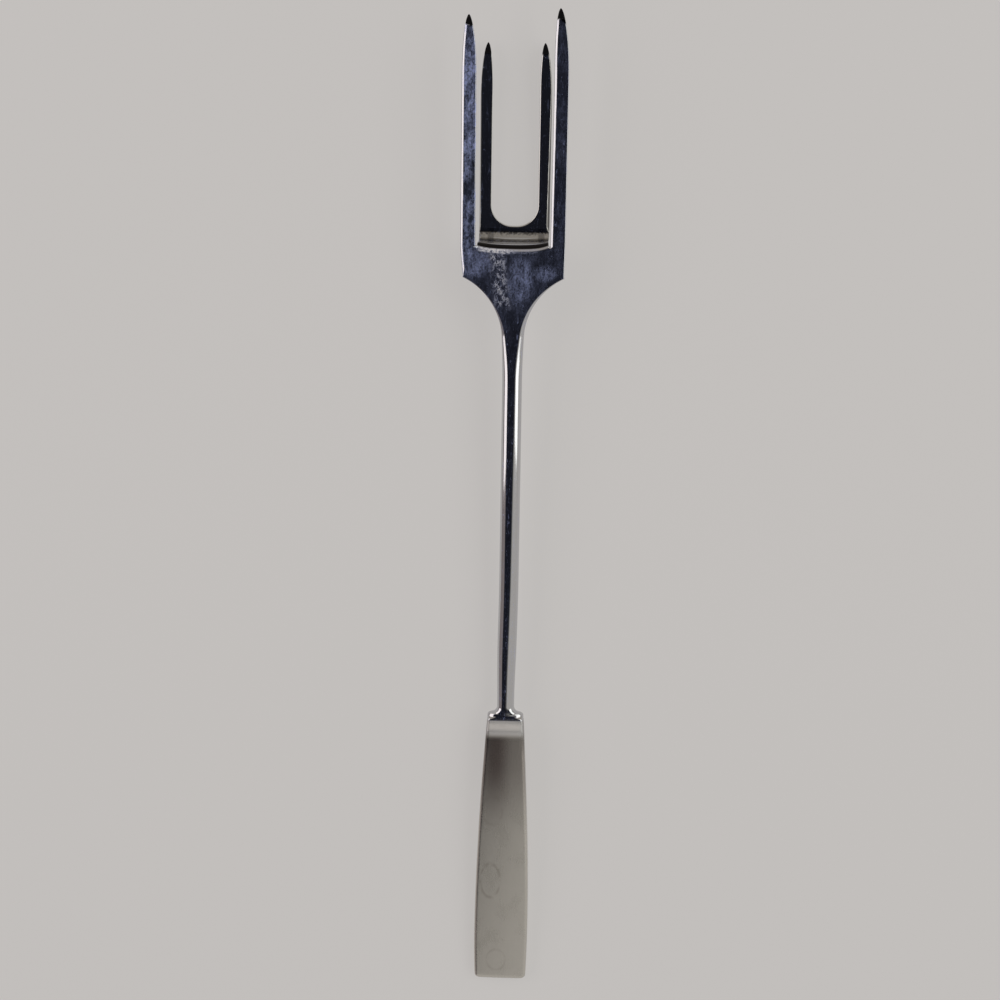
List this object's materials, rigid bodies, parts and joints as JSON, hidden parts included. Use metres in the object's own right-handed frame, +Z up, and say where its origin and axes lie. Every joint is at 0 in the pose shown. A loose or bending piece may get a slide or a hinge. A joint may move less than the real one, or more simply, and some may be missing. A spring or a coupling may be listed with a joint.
{
  "type": "carving fork",
  "caption": "Steel carving fork made in one piece, with tines in front and more behind on a folded shelf, a slim round shaft and a flat satin handle.",
  "frame": {"origin": "middle of the fork's length and width, on the surface that the fork lies on", "axes": "+Y from the handle to the tips of the tines, +X to the fork's right seen from its polished front, +Z up out of that front"},
  "size_m": [0.0334, 0.3298, 0.0176],
  "materials": {
    "steel": "mirror polish on the shaft, the head and the tines, worn with fine scratches, and satin on the handle"
  },
  "bodies": {
    "root": {"carving_fork": "steel"}
  },
  "joints": []
}
